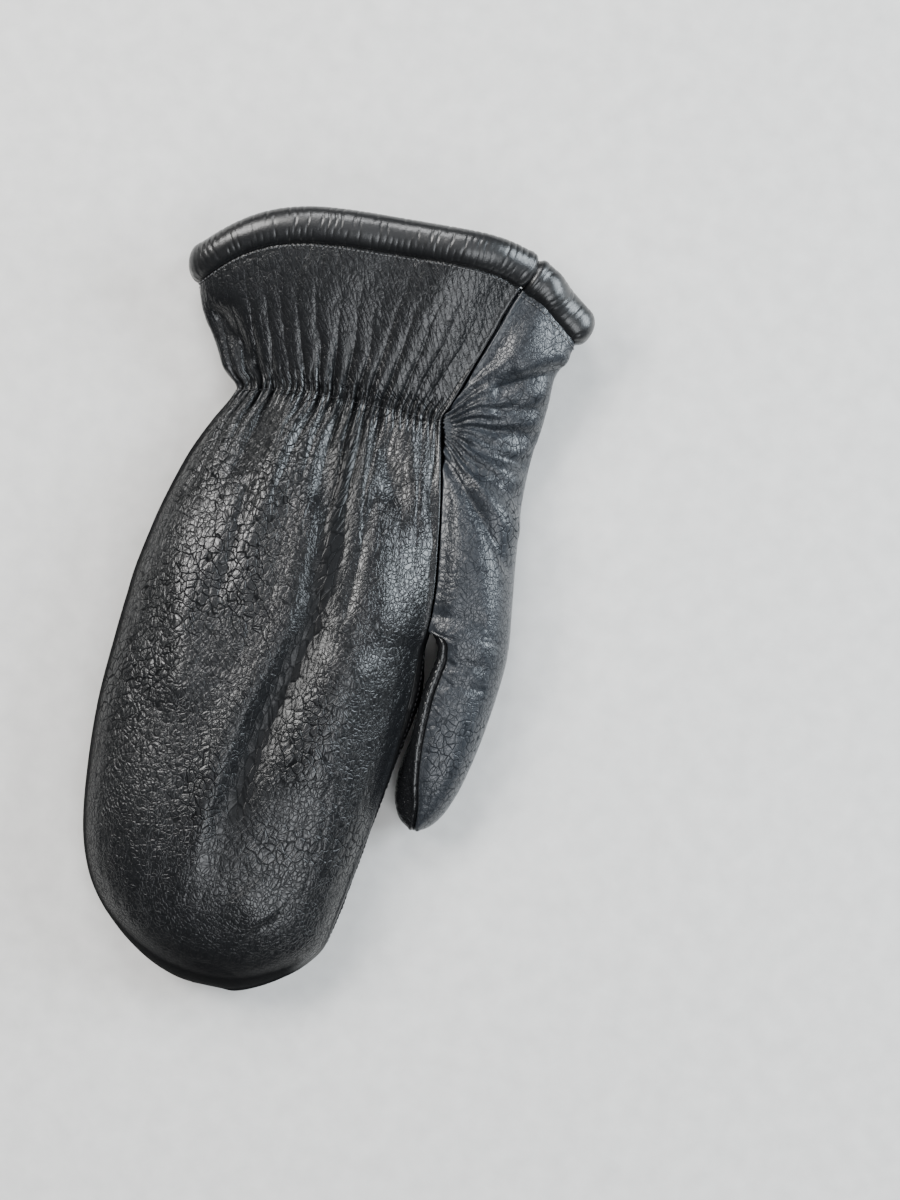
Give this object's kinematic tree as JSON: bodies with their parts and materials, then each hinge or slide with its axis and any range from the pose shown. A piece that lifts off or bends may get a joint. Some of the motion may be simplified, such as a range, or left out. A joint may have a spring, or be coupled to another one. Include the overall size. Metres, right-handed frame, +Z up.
{
  "type": "leather mitten",
  "caption": "Right-hand leather mitten lying on its palm, with a thumb, a gathered wrist and a flared cuff edged by a padded leather roll; hollow, open at the cuff.",
  "frame": {"origin": "on the flat of the palm, at the middle of the hand, where the mitten rests", "axes": "+Y along the hand from the fingertip to the cuff, +X towards the thumb, +Z up out of the back of the hand"},
  "size_m": [0.1428, 0.276, 0.0462],
  "materials": {
    "back_leather": "satin black leather with a pebbled grain",
    "palm_leather": "satin black leather with a fine grain",
    "thumb_leather": "satin black leather with creases and a cool sheen",
    "roll_leather": "smooth black leather over padding"
  },
  "bodies": {
    "root": {"back_panel": "back_leather", "palm_panel": "palm_leather", "thumb_panel": "thumb_leather", "thumb_inner_panel": "palm_leather", "rim_roll_back": "roll_leather", "rim_roll_palm": "roll_leather"}
  },
  "joints": []
}
